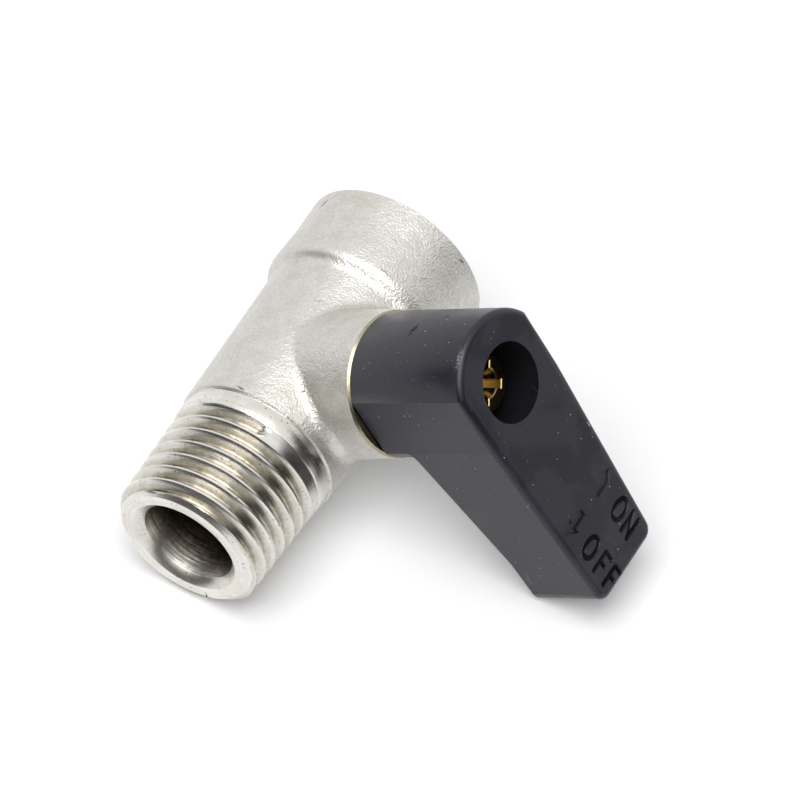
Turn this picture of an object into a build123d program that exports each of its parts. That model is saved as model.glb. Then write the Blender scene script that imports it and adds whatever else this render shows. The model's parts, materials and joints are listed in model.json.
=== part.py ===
"""Quarter-turn ball drain valve with a male inlet, a female outlet and a plastic lever.

Millimetres, +Z up. The origin is the centre of the inlet's end face. +X runs along the flow
to the outlet, and the stem stands along +Z at stem_x. The valve is drawn shut: the lever
points along -Y, across the flow, and a quarter turn about +Z brings it over the outlet.
"""
from build123d import *

import math
import os

# Inlet: a plain envelope of a 1/4 inch, 18 per inch tapered pipe thread, at its mean crest
thread_crest_r = 6.79
thread_length = 9.9
start_chamfer = 0.45
end_face_r = 5.9
inlet_bore_r = 4.15
inlet_flare = 0.71
collar_r = 7.0
collar_length = 1.5

# Forged barrel, from the collar to the step up to the outlet cup
shoulder_rise = 0.2
shoulder_edge = 0.15
barrel_draft = 0.45
stem_setback = 7.8
cup_step_reach = 7.5
cup_step_length = 1.7
cup_rise = 0.72
cup_waist = 0.11
cup_edge = 0.22
outlet_reach = 15.28

# Outlet: plain minor bore of the female pipe thread, and its lead-in
port_step = 0.37
port_flare = 0.8

# Stem boss, forged at right angles to the barrel
boss_top_z = 11.1
boss_top_r = 6.07
boss_draft_deg = 2.0
boss_root_fillet = 1.15
boss_edge_chamfer = 0.18

# Ball and its two seats
ball_r = 4.75
ball_wall = 2.25
ball_clearance = 0.04
seat_overhang = 0.3
seat_bore_margin = 0.5
seat_land = 0.65
seat_thickness = 2.3
seat_clearance = 0.05

# Retainer ring that screws in behind the outlet seat
retainer_step = 0.3
retainer_bore_margin = 0.1
retainer_length = 1.9
retainer_slot_width = 1.4
retainer_slot_depth = 0.8
screw_thread_clearance = 0.03

# Stem: tang, thrust shoulder, gland length with two O-rings, and square drive
stem_r = 2.75
stem_bore_clearance = 0.05
stem_lift = 0.35
tang_thickness = 2.0
tang_length = 5.2
tang_depth = 1.75
tang_clearance = 0.05
shoulder_width = 0.6
shoulder_thickness = 0.9
washer_thickness = 0.6
stack_clearance = 0.02
ring_section_r = 0.43
ring_section_sides = 6
ring_groove_width = 1.1
ring_clearance = 0.01
drive_across_flats = 3.5
drive_corner_round = 0.3
drive_height = 4.9
drive_clearance = 0.05
tapped_spare = 0.6

# Quarter-turn stop: a lug on the boss in a curved pocket under the handle
turn_deg = 90.0
lug_inset = 0.5
lug_width = 1.1
lug_height = 1.9
lug_deg = 60.0
lug_middle_deg = 90.0
lug_clearance = 0.15
stop_clearance_deg = 1.0

# Handle: hub over the boss, tapering lever, screw well in the face, cored back
handle_lift = 0.12
hub_r = 6.0
hub_flat_depth = 0.7
hub_height = 12.06
lever_reach = 20.9
lever_taper = 0.99
lever_root_lift = 2.43
lever_knee_reach = 16.2
lever_knee_rise = 2.45
lever_corner_round = 1.15
face_round = 0.5
knee_round = 2.0
root_round = 0.6
well_clearance = 0.42
web_thickness = 2.2
socket_headroom = 0.4
core_wall = 1.6
core_face_wall = 2.2
core_setback = 0.8
core_corner_round = 0.7

# Handle screw, cross-recessed pan head
screw_r = 1.5
screw_length = 6.0
screw_hole_clearance = 0.15
head_r = 2.9
head_height = 2.0
head_edge_chamfer = 0.55
recess_span = 3.6
recess_width = 0.72
recess_depth = 1.3
recess_mouth_r = 1.3
recess_floor_r = 0.55
recess_edge = 0.07

# Places worked out from the sizes above
over = 1.0
barrel_start_x = thread_length + collar_length
barrel_start_r = collar_r + shoulder_rise
barrel_end_r = barrel_start_r + barrel_draft
cup_r = barrel_end_r + cup_rise
stem_x = barrel_start_x + stem_setback
body_length = stem_x + outlet_reach
cup_start_x = stem_x + cup_step_reach - cup_step_length / 2
cup_full_x = cup_start_x + cup_step_length
boss_root_r = boss_top_r + boss_top_z * math.tan(math.radians(boss_draft_deg))

ball_port_r = ball_r - ball_wall
seat_face_r = ball_r + ball_clearance
seat_bore_r = ball_port_r + seat_bore_margin
seat_lip_r = seat_bore_r + seat_land
seat_outer_r = ball_r + seat_overhang
seat_front = math.sqrt(seat_face_r**2 - seat_lip_r**2)
seat_back = seat_front + seat_thickness
cavity_r = seat_outer_r + seat_clearance
cavity_start_x = stem_x - seat_back - stack_clearance
cavity_end_x = stem_x + seat_back + stack_clearance
retainer_r = cavity_r + retainer_step
retainer_end_x = cavity_end_x + retainer_length
retainer_seat_r = retainer_r + screw_thread_clearance
port_minor_r = retainer_seat_r + port_step

shoulder_r = stem_r + shoulder_width
shoulder_z = ball_r + stem_lift
shoulder_top_z = shoulder_z + shoulder_thickness
washer_z = shoulder_top_z + stack_clearance
gland_z = washer_z + washer_thickness + stack_clearance
stem_bore_r = stem_r + stem_bore_clearance
shoulder_bore_r = shoulder_r + stem_bore_clearance
ring_mid_r = stem_bore_r - ring_clearance - ring_section_r
groove_r = ring_mid_r - ring_section_r - ring_clearance
ring_land = (boss_top_z - gland_z - 2 * ring_groove_width) / 3
drive_top_z = boss_top_z + drive_height
lug_inner_r = stem_bore_r + lug_inset
lug_outer_r = lug_inner_r + lug_width

handle_z = boss_top_z + handle_lift
handle_top_z = handle_z + hub_height
socket_top_z = drive_top_z + socket_headroom
well_z = socket_top_z + web_thickness
well_r = head_r + well_clearance
tapped_depth = screw_length + drive_top_z - well_z + tapped_spare
hub_half_width = hub_r - hub_flat_depth
taper_start_y = -math.sqrt(hub_r**2 - hub_half_width**2)
lever_tip_y = -lever_reach
lever_tip_half_width = hub_half_width - lever_taper
lever_root_z = handle_z + lever_root_lift
lever_knee_y = -lever_knee_reach
lever_knee_z = lever_root_z + lever_knee_rise
core_start_y = -hub_r - core_setback


def at_stem(shape):
    """Move a shape drawn about the Z axis onto the stem's axis."""
    return Pos(stem_x, 0, 0) * shape


def post(radius, z_from, z_to):
    """Solid cylinder about the stem's axis."""
    return at_stem(Pos(0, 0, z_from) * extrude(Circle(radius), z_to - z_from))


def drum(radius, x_from, x_to):
    """Solid cylinder along the flow axis."""
    return extrude(Plane.YZ.offset(x_from) * Circle(radius), x_to - x_from)


def turned(*outline):
    """Solid turned about the flow axis from (x, radius) points."""
    return revolve(Plane.XZ * make_face(Polyline(*outline, close=True)), Axis.X)


def arc_block(inner_r, outer_r, z_from, z_to, start_deg, span_deg):
    """Block between two radii that spans an angle about the stem's axis."""
    section = Pos((inner_r + outer_r) / 2, (z_from + z_to) / 2) * Rectangle(
        outer_r - inner_r, z_to - z_from
    )
    block = revolve(Plane.XZ * section, Axis.Z, span_deg)
    return at_stem(Rot(0, 0, start_deg) * block)


def lever_half_width(y):
    """Half width of the lever's plan at a distance along it, past the hub's flats."""
    share = (y - taper_start_y) / (lever_tip_y - taper_start_y)
    return hub_half_width + (lever_tip_half_width - hub_half_width) * share


def forged_outside():
    """Barrel, outlet cup and boss as one forging, with the boss blended into the barrel."""
    step_low = (cup_start_x, barrel_end_r)
    step_high = (cup_full_x, cup_r)
    step_middle = ((cup_start_x + cup_full_x) / 2, (barrel_end_r + cup_r) / 2)
    waist = ((cup_full_x + body_length) / 2, cup_r - cup_waist)
    draft = (cup_start_x - barrel_start_x, barrel_draft)
    rise = TangentArc(step_low, step_middle, tangent=draft)
    outline = [
        Polyline(
            (0, 0),
            (0, end_face_r),
            (start_chamfer, thread_crest_r),
            (thread_length, thread_crest_r),
            (thread_length, collar_r),
            (barrel_start_x, collar_r),
            (barrel_start_x, barrel_start_r - shoulder_edge),
            (barrel_start_x + shoulder_edge, barrel_start_r),
            step_low,
        ),
        rise,
        TangentArc(step_middle, step_high, tangent=rise % 1),
        Polyline(
            step_high,
            waist,
            (body_length - cup_edge, cup_r),
            (body_length, cup_r - cup_edge),
            (body_length, 0),
            (0, 0),
        ),
    ]
    barrel = revolve(Plane.XZ * make_face(Curve() + outline), Axis.X)
    boss = at_stem(Pos(0, 0, boss_top_z / 2) * Cone(boss_root_r, boss_top_r, boss_top_z))
    forging = barrel + boss
    seam = new_edges(barrel, boss, combined=forging)
    forging = fillet(seam, boss_root_fillet)
    top_rim = forging.faces().sort_by(Axis.Z)[-1].edges()
    return chamfer(top_rim, boss_edge_chamfer)


def flow_way():
    """Everything bored along the flow axis: inlet, seat chamber, retainer seat and port."""
    flared_r = inlet_bore_r + inlet_flare
    mouth_r = port_minor_r + port_flare
    return turned(
        (-over, 0),
        (-over, flared_r),
        (0, flared_r),
        (inlet_flare, inlet_bore_r),
        (cavity_start_x, inlet_bore_r),
        (cavity_start_x, cavity_r),
        (cavity_end_x, cavity_r),
        (cavity_end_x, retainer_seat_r),
        (retainer_end_x, retainer_seat_r),
        (retainer_end_x, port_minor_r),
        (body_length - port_flare, port_minor_r),
        (body_length, mouth_r),
        (body_length + over, mouth_r),
        (body_length + over, 0),
    )


def valve_body():
    """Forged and machined brass body with its stop lug."""
    body = forged_outside() - flow_way()
    body -= post(shoulder_bore_r, 0, gland_z)
    body -= post(stem_bore_r, 0, boss_top_z + over)
    lug = arc_block(
        lug_inner_r,
        lug_outer_r,
        boss_top_z,
        boss_top_z + lug_height,
        lug_middle_deg - lug_deg / 2,
        lug_deg,
    )
    return body + lug


def ball():
    """Ball with its port across the flow, as it stands shut, and the slot for the tang."""
    solid = Sphere(ball_r) - Rot(90, 0, 0) * Cylinder(ball_port_r, 2 * ball_r + over)
    slot_floor = shoulder_z - tang_depth - tang_clearance
    slot_size = (2 * ball_r + over, tang_thickness + 2 * tang_clearance, ball_r)
    slot = Pos(0, 0, slot_floor) * Box(*slot_size, align=(Align.CENTER, Align.CENTER, Align.MIN))
    return at_stem(solid - slot)


def seat(side):
    """Seat ring with a spherical face; side is -1 at the inlet and +1 at the outlet."""
    bore_x = math.sqrt(seat_face_r**2 - seat_bore_r**2)
    middle = math.atan2(seat_bore_r + seat_lip_r, bore_x + seat_front)
    outline = [
        ThreePointArc(
            (bore_x, seat_bore_r),
            (seat_face_r * math.cos(middle), seat_face_r * math.sin(middle)),
            (seat_front, seat_lip_r),
        ),
        Polyline(
            (seat_front, seat_lip_r),
            (seat_front, seat_outer_r),
            (seat_back, seat_outer_r),
            (seat_back, seat_bore_r),
            (bore_x, seat_bore_r),
        ),
    ]
    ring = revolve(Plane.XZ * make_face(Curve() + outline), Axis.X)
    return at_stem(ring if side > 0 else Rot(0, 0, 180) * ring)


def seat_retainer():
    """Threaded ring behind the outlet seat, with two slots for a pin spanner."""
    ring = drum(retainer_r, cavity_end_x, retainer_end_x)
    bore_r = seat_bore_r + retainer_bore_margin
    ring -= drum(bore_r, cavity_end_x - over, retainer_end_x + over)
    slot = Box(
        retainer_slot_depth,
        2 * retainer_r + over,
        retainer_slot_width,
        align=(Align.MAX, Align.CENTER, Align.CENTER),
    )
    return ring - Pos(retainer_end_x, 0, 0) * slot


def stem():
    """Turned stem: tang for the ball, thrust shoulder, two grooves and a square drive."""
    tang_floor_z = shoulder_z - tang_depth
    tang = Box(
        tang_length, tang_thickness, tang_depth, align=(Align.CENTER, Align.CENTER, Align.MIN)
    )
    shape = at_stem(Pos(0, 0, tang_floor_z) * tang)
    shape += post(shoulder_r, shoulder_z, shoulder_top_z)
    shape += post(stem_r, shoulder_top_z, boss_top_z)
    for floor_z in groove_floors():
        ring = post(stem_r + over, floor_z, floor_z + ring_groove_width)
        shape -= ring - post(groove_r, floor_z, floor_z + ring_groove_width)
    square = RectangleRounded(drive_across_flats, drive_across_flats, drive_corner_round)
    drive = extrude(square, drive_height)
    shape += at_stem(Pos(0, 0, boss_top_z) * drive)
    tapped_r = screw_r + screw_thread_clearance
    return shape - post(tapped_r, drive_top_z - tapped_depth, drive_top_z + over)


def groove_floors():
    """Lower face of each O-ring groove, evenly spaced along the gland."""
    pitch = ring_land + ring_groove_width
    return [gland_z + ring_land + number * pitch for number in range(2)]


def stem_ring(number):
    """O-ring in one of the stem's grooves, counted from below, with a plain section."""
    middle_z = groove_floors()[number] + ring_groove_width / 2
    section = RegularPolygon(ring_section_r, ring_section_sides)
    return at_stem(revolve(Plane.XZ * Pos(ring_mid_r, middle_z) * section, Axis.Z))


def thrust_washer():
    """Plain washer between the stem's shoulder and the body."""
    bore_r = stem_r + stem_bore_clearance
    washer = post(shoulder_r, washer_z, washer_z + washer_thickness)
    return washer - post(bore_r, washer_z - over, washer_z + washer_thickness + over)


def handle_outside():
    """Hub and lever in one moulding, before its openings are cut."""
    hub = Circle(hub_r) & Rectangle(2 * hub_half_width, 2 * hub_r)
    hub = Pos(0, 0, handle_z) * extrude(hub, handle_top_z - handle_z)
    plan = Polygon(
        (hub_half_width, 0),
        (-hub_half_width, 0),
        (-hub_half_width, taper_start_y),
        (-lever_tip_half_width, lever_tip_y),
        (lever_tip_half_width, lever_tip_y),
        (hub_half_width, taper_start_y),
        align=None,
    )
    tip_corners = plan.vertices().sort_by(Axis.Y)[:2]
    plan = fillet(tip_corners, lever_corner_round)
    side = Plane.YZ * Polygon(
        (0, lever_root_z),
        (0, handle_top_z),
        (lever_tip_y, handle_top_z),
        (lever_tip_y, lever_knee_z),
        (lever_knee_y, lever_knee_z),
        align=None,
    )
    lever = extrude(plan, handle_top_z) & extrude(side, hub_r, both=True)
    knee = lever.edges().sort_by_distance((0, lever_knee_y, lever_knee_z))[0]
    lever = fillet(knee, knee_round)
    moulding = hub + lever
    root = moulding.edges().sort_by_distance((0, -hub_r, lever_root_z))[0]
    moulding = fillet(root, root_round)
    face_edges = moulding.faces().sort_by(Axis.Z)[-1].outer_wire().edges()
    return fillet(face_edges, face_round)


def handle_core():
    """Pocket that keeps the lever's walls even, open at its back."""
    end_y = lever_tip_y + core_wall
    start_half = lever_half_width(core_start_y) - core_wall
    end_half = lever_half_width(end_y) - core_wall
    plan = Polygon(
        (start_half, core_start_y),
        (-start_half, core_start_y),
        (-end_half, end_y),
        (end_half, end_y),
        align=None,
    )
    plan = fillet(plan.vertices(), core_corner_round)
    floor_z = handle_top_z - core_face_wall
    return Pos(0, 0, handle_z) * extrude(plan, floor_z - handle_z)


def handle():
    """Moulded lever handle with its screw well, square socket, stop pocket and cored back."""
    shape = at_stem(handle_outside() - handle_core())
    shape -= post(well_r, well_z, handle_top_z + over)
    shape -= post(screw_r + screw_hole_clearance, handle_z, well_z + over)
    socket_size = drive_across_flats + 2 * drive_clearance
    socket = extrude(Rectangle(socket_size, socket_size), socket_top_z - handle_z + over)
    shape -= at_stem(Pos(0, 0, handle_z - over) * socket)
    pocket_deg = lug_deg + turn_deg + 2 * stop_clearance_deg
    pocket_start = lug_middle_deg - lug_deg / 2 - turn_deg - stop_clearance_deg
    return shape - arc_block(
        lug_inner_r - lug_clearance,
        lug_outer_r + lug_clearance,
        handle_z - over,
        boss_top_z + lug_height + lug_clearance,
        pocket_start,
        pocket_deg,
    )


def handle_screw():
    """Pan head screw that holds the handle on the stem."""
    head = Pos(0, 0, well_z) * extrude(Circle(head_r), head_height)
    head = chamfer(head.faces().sort_by(Axis.Z)[-1].edges(), head_edge_chamfer)
    shank = Pos(0, 0, well_z - screw_length) * extrude(Circle(screw_r), screw_length)
    arm = Box(
        recess_span, recess_width, recess_depth, align=(Align.CENTER, Align.CENTER, Align.MAX)
    )
    recess = Rot(0, 0, 45) * arm + Rot(0, 0, -45) * arm
    recess += Pos(0, 0, -recess_depth / 2) * Cone(recess_floor_r, recess_mouth_r, recess_depth)
    head -= Pos(0, 0, well_z + head_height) * recess
    mouth = head.faces().sort_by(Axis.Z)[-1].inner_wires()[0]
    return at_stem(chamfer(mouth.edges(), recess_edge) + shank)


def main():
    """Write each piece to its own file in parts/."""
    pieces = {
        "valve_body": valve_body(),
        "ball": ball(),
        "inlet_seat": seat(-1),
        "outlet_seat": seat(1),
        "seat_retainer": seat_retainer(),
        "stem": stem(),
        "thrust_washer": thrust_washer(),
        "lower_stem_ring": stem_ring(0),
        "upper_stem_ring": stem_ring(1),
        "handle": handle(),
        "handle_screw": handle_screw(),
    }
    os.makedirs("parts", exist_ok=True)
    for name, shape in pieces.items():
        shape.label = name
        export_step(shape, f"parts/{name}.step")
        print(f"{name}: {shape.volume:.2f} mm3")


main()
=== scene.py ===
"""Quarter-turn ball drain valve, dressed and lit as it lies on a white table.

Metres, in the valve's own frame: +X runs along the flow from the male inlet to the female
outlet, +Z along the stem, and the lever points along -Y while the valve is shut.
"""
import json
import logging
import math
from dataclasses import dataclass
from enum import Enum, IntEnum
from typing import Callable, Iterable

import bmesh
import bpy
from mathutils import Matrix, Vector

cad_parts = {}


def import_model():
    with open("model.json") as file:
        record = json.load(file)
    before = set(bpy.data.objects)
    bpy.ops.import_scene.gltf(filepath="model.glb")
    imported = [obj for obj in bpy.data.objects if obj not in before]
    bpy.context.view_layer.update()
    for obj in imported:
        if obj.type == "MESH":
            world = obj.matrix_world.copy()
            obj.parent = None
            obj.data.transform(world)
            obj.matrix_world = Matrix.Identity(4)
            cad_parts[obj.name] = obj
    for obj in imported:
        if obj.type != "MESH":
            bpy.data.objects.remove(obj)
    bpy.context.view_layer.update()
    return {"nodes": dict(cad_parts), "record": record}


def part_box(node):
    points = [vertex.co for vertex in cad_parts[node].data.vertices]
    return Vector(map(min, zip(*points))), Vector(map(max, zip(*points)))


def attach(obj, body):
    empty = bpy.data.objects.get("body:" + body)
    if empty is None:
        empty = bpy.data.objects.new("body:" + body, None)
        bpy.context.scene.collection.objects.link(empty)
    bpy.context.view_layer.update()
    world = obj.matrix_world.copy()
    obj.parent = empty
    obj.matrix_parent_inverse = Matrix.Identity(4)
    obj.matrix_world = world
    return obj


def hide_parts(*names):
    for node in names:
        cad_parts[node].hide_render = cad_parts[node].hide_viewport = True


log = logging.getLogger("drain_valve")

MM = 0.001
FULL_TURN = 2.0 * math.pi
GROOVE = "groove"
BMesh = bmesh.types.BMesh
Material = bpy.types.Material
Node = bpy.types.Node
Object = bpy.types.Object
Socket = bpy.types.NodeSocket
Colour = tuple[float, float, float]
Place = tuple[float, float, float]
Results = tuple[Socket, ...]
Outline = Callable[[int, float], tuple[float, float]]


class Body(str, Enum):
    """Moving bodies of the valve, as the frame names them."""

    FIXED = "body"
    HANDLE = "handle"


class Slot(str, Enum):
    """Material slots of the valve's record."""

    NICKEL = "nickel_plated_brass"
    PLASTIC = "black_plastic"


class Zone(IntEnum):
    """Finishes of the valve body, in the order of its material slots."""

    FORGED = 0
    TURNED = 1
    BORED = 2
    RIM = 3


class Tree:
    """Short way to place and join shader nodes in one node tree."""

    def __init__(self, owner: Material | bpy.types.World | bpy.types.NodeTree) -> None:
        """Keep a group's tree, or empty the tree of a material or a world.

        Args:
            owner: The group, the material or the world.
        """
        if isinstance(owner, bpy.types.NodeTree):
            self.tree = owner
        else:
            owner.use_nodes = True
            self.tree = owner.node_tree
            self.tree.nodes.clear()

    def show(self, surface: Socket, kind: str = "OutputMaterial") -> None:
        """Join a shader to a new output node."""
        self.add(kind, {"Surface": surface})

    def add(self, kind: str, sockets: dict | None = None, **settings) -> Node:
        """Place a node.

        Args:
            kind: Node type without its ShaderNode prefix.
            sockets: Values or output sockets for its inputs, by name or number.
            settings: Attributes to set on the node.

        Returns:
            The new node.
        """
        node = self.tree.nodes.new("ShaderNode" + kind)
        for name, value in settings.items():
            setattr(node, name, value)
        for name, value in (sockets or {}).items():
            self.feed(node.inputs[name], value)
        return node

    def feed(self, socket: Socket, value: object) -> None:
        """Join an output to an input socket, or set the socket's own value.

        Args:
            socket: The input.
            value: An output socket, a number, or a colour or vector of three numbers.
        """
        if isinstance(value, Socket):
            self.tree.links.new(value, socket)
        elif isinstance(value, tuple) and socket.type == "RGBA":
            socket.default_value = (*value, 1.0)
        else:
            socket.default_value = value

    def math(self, operation: str, *values: object) -> Socket:
        """Place a Math node on two or three numbers or sockets and return its output."""
        node = self.add("Math", dict(enumerate(values)), operation=operation)
        return node.outputs[0]

    def vector(self, operation: str, *values: object, out: str = "Vector") -> Socket:
        """Place a Vector Math node and return its named output."""
        node = self.add("VectorMath", dict(enumerate(values)), operation=operation)
        return node.outputs[out]

    def ramp(self, value: object, low: object, high: object) -> Socket:
        """Ease a value from 0 at low to 1 at high, and return the result's socket."""
        sockets = {"Value": value, "From Min": low, "From Max": high}
        return self.add("MapRange", sockets, interpolation_type="SMOOTHSTEP").outputs["Result"]

    def mix(self, share: object, first: object, second: object) -> Socket:
        """Blend two colours by a share and return the blend's socket."""
        node = self.add("Mix", {"Factor": share, 6: first, 7: second}, data_type="RGBA")
        return node.outputs[2]

    def noise(self, vector: object, scale: object, detail: float = 2.0) -> Socket:
        """Place a Noise Texture and return its value from 0 to 1."""
        sockets = {"Vector": vector, "Scale": scale, "Detail": detail}
        return self.add("TexNoise", sockets).outputs["Fac"]


class Group(Tree):
    """Shader node group that several finishes share, with a Vector input and more."""

    vectors: tuple[str, ...] = ()
    numbers: tuple[str, ...] = ()
    results: tuple[str, ...] = ("Mask",)

    def __init__(self) -> None:
        """Make the group with its inputs and outputs, and fill it."""
        super().__init__(bpy.data.node_groups.new(type(self).__name__, "ShaderNodeTree"))
        sockets = [(name, "INPUT", "Vector") for name in ("Vector", *self.vectors)]
        sockets += [(name, "INPUT", "Float") for name in self.numbers]
        sockets += [(name, "OUTPUT", "Float") for name in self.results]
        for name, side, kind in sockets:
            self.tree.interface.new_socket(name=name, in_out=side, socket_type="NodeSocket" + kind)
        self.ins = self.tree.nodes.new("NodeGroupInput").outputs
        self.place = self.ins["Vector"]
        sink = self.tree.nodes.new("NodeGroupOutput")
        for socket, result in zip(sink.inputs, self.fill()):
            self.feed(socket, result)

    def fill(self) -> Results:
        """Place the nodes that lead from the inputs, and return the results' sockets."""
        raise NotImplementedError


class Grain(Group):
    """Fine dimples over a slow swell, and a slow change of tone."""

    numbers = ("Grain", "Swell")
    results = ("Height", "Tone")

    def fill(self) -> Results:
        """Place the dimples and the swell, and return height and tone."""
        fine_scale = self.math("DIVIDE", 1.0, self.ins["Grain"])
        fine = self.noise(self.place, fine_scale, 3.0)
        coarse = self.noise(self.place, self.math("MULTIPLY", fine_scale, 0.45), 1.0)
        swell = self.noise(self.place, self.math("DIVIDE", 1.0, self.ins["Swell"]), 1.0)
        height = self.math("MULTIPLY_ADD", coarse, 0.3, fine)
        tone = self.math("MULTIPLY_ADD", swell, 0.35, fine)
        return self.math("MULTIPLY_ADD", swell, 0.7, height), self.ramp(tone, 0.45, 0.9)


class Marks(Group):
    """Turned rings about the X axis that change along the outline."""

    numbers = ("Pitch",)
    results = ("Height", "Streak")

    def fill(self) -> Results:
        """Place two stretched clouds, and return height and streak."""
        parts = self.add("SeparateXYZ", {"Vector": self.place})
        squares = [self.math("POWER", parts.outputs[axis], 2.0) for axis in "YZ"]
        radius = self.math("SQRT", self.math("ADD", *squares))
        reach = self.math("ADD", parts.outputs["X"], radius)
        along = self.math("DIVIDE", reach, self.ins["Pitch"])
        rounds = {axis: self.math("MULTIPLY", parts.outputs[axis], 260.0) for axis in "YZ"}
        stretched = self.add("CombineXYZ", {"X": along, **rounds}).outputs["Vector"]
        streak = self.ramp(self.noise(stretched, 0.37, 2.0), 0.35, 0.65)
        return self.noise(stretched, 1.0, 3.0), streak


class Specks(Group):
    """Small round spots in some of the cells of a loose lattice."""

    numbers = ("Spacing", "Size", "Share")

    def fill(self) -> Results:
        """Place the lattice and its spots, and return their mask."""
        scale = self.math("DIVIDE", 1.0, self.ins["Spacing"])
        cells = self.add("TexVoronoi", {"Vector": self.place, "Scale": scale})
        chance = self.add("SeparateColor", {"Color": cells.outputs["Color"]})
        chosen = self.math("LESS_THAN", chance.outputs["Red"], self.ins["Share"])
        share = self.math("MULTIPLY_ADD", chance.outputs["Green"], 0.8, 0.4)
        reach = self.math("MULTIPLY", self.math("MULTIPLY", self.ins["Size"], scale), share)
        spot = self.ramp(cells.outputs["Distance"], reach, self.math("MULTIPLY", reach, 0.5))
        return (self.math("MULTIPLY", spot, chosen),)


class Stains(Group):
    """Soft cloudy patches over a share of the surface."""

    numbers = ("Size", "Share")

    def fill(self) -> Results:
        """Place the cloud, and return the mask of its high parts."""
        scale = self.math("DIVIDE", 1.0, self.ins["Size"])
        cloud = self.noise(self.place, scale, 4.0)
        edge = self.math("SUBTRACT", 0.8, self.math("MULTIPLY", self.ins["Share"], 0.5))
        return (self.ramp(cloud, self.math("SUBTRACT", edge, 0.14), edge),)


class Scratches(Group):
    """Hairlines where a stretched cloud crosses its middle value."""

    numbers = ("Spacing", "Share")

    def fill(self) -> Results:
        """Place the lines and their patches, and return their mask."""
        scale = self.math("DIVIDE", 1.0, self.ins["Spacing"])
        sockets = {"Vector": self.place, "Rotation": (0.5, 0.7, 0.4), "Scale": (1.0, 0.12, 0.4)}
        stretched = self.add("Mapping", sockets)
        cloud = self.noise(stretched.outputs["Vector"], scale, 0.0)
        line = self.ramp(self.math("ABSOLUTE", self.math("SUBTRACT", cloud, 0.5)), 0.012, 0.004)
        patch = self.noise(self.place, self.math("MULTIPLY", scale, 0.5), 1.0)
        edge = self.math("SUBTRACT", 0.75, self.math("MULTIPLY", self.ins["Share"], 0.5))
        return (self.math("MULTIPLY", line, self.ramp(patch, edge, 0.8)),)


class ScuffShape(Group):
    """One ragged mark at a place, long one way and narrow across it."""

    numbers = ("Long", "Wide", "Ragged")
    vectors = ("Middle", "Way")

    def fill(self) -> Results:
        """Place an oval with a torn edge, and return its mask."""
        offset = self.vector("SUBTRACT", self.place, self.ins["Middle"])
        along = self.vector("DOT_PRODUCT", offset, self.ins["Way"], out="Value")
        reach = self.vector("DOT_PRODUCT", offset, offset, out="Value")
        long_part = self.math("POWER", self.math("DIVIDE", along, self.ins["Long"]), 2.0)
        across = self.math("SUBTRACT", reach, self.math("MULTIPLY", along, along))
        wide_part = self.math("DIVIDE", across, self.math("POWER", self.ins["Wide"], 2.0))
        cloud = self.noise(self.place, 1.0 / (0.16 * MM), 2.0)
        ragged = self.math("MULTIPLY", cloud, self.ins["Ragged"])
        shape = self.math("ADD", self.math("ADD", long_part, wide_part), ragged)
        return (self.ramp(shape, 1.2, 0.8),)


Shelf = dict[type[Group], bpy.types.NodeTree]


@dataclass(frozen=True)
class Scuff:
    """A mark's middle and half sizes in millimetres, the way it runs, and its colour."""

    place: Place
    way: Place
    long: float
    wide: float
    colour: Colour
    ragged: float = 1.2
    strength: float = 0.85


DIRT: Colour = (0.10, 0.09, 0.06)
# Pale bluish grey of rubbed wear and hairlines, also a painted highlight on the lever's rims
RUBBED_AND_SHEEN: Colour = (0.28, 0.30, 0.38)
BODY_SCUFFS_AND_SHADE = (
    Scuff((32.91, 8.14, -1.85), (0.9, 0.1, 0.4), 0.75, 0.22, DIRT),
    Scuff((25.15, 7.75, 1.1), (0.25, 0.0, 0.97), 0.75, 0.22, DIRT),
    Scuff((33.85, 0.3, 8.34), (0.3, -0.95, 0.0), 0.5, 0.13, DIRT),
    # painted shade: a grey line along the crease at the top of the cup step
    Scuff((27.6, 5.0, 6.65), (-0.13, -0.75, 0.65), 2.6, 0.2, (0.22, 0.2, 0.17), 1.6, 0.7),
    Scuff((11.75, 6.6, 2.7), (-0.2, -0.4, 0.9), 0.75, 0.16, DIRT),
    Scuff((12.2, 6.6, -2.6), (0.5, 0.1, 0.86), 0.8, 0.16, DIRT),
    Scuff((14.1, 4.0, 6.25), (0.5, -0.5, 0.7), 0.45, 0.2, DIRT, 1.6),
    # painted shade: a grey streak in the hollow where the boss blends into the barrel
    Scuff((22.4, 6.5, 3.9), (0.2, -0.6, 0.8), 1.3, 0.2, (0.3, 0.28, 0.24), 1.8, 0.7),
)
THREAD_SCUFFS = (
    Scuff((5.05, 6.67, -1.06), (0.3, 0.1, 0.95), 0.28, 0.2, (0.02, 0.02, 0.02), 0.6),
    Scuff((8.6, 6.87, 0.4), (0.0, -0.1, 1.0), 0.5, 0.09, DIRT, 0.8),
    Scuff((6.6, 5.6, 3.7), (-0.1, -0.6, 0.8), 0.45, 0.07, DIRT, 0.8),
)
HANDLE_SCUFFS_AND_SHEEN = (
    Scuff((19.1, 5.94, 16.55), (0.98, 0.0, 0.2), 1.3, 0.45, (0.003, 0.003, 0.003), 1.6),
    Scuff((20.9, 5.75, 18.9), (0.6, 0.0, 0.8), 0.3, 0.18, (0.003, 0.003, 0.003), 0.8),
    # rubbed wear with a painted highlight along the hub's top rim
    Scuff((16.4, 5.2, 22.85), (-0.86, -0.5, 0.0), 1.7, 0.36, RUBBED_AND_SHEEN, 1.7, 0.5),
    # rubbed wear with a painted highlight at an edge of the lever's face
    Scuff((23.7, -8.93, 23.2), (0.3, -0.95, 0.0), 0.5, 0.22, RUBBED_AND_SHEEN, 1.4),
)


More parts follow.
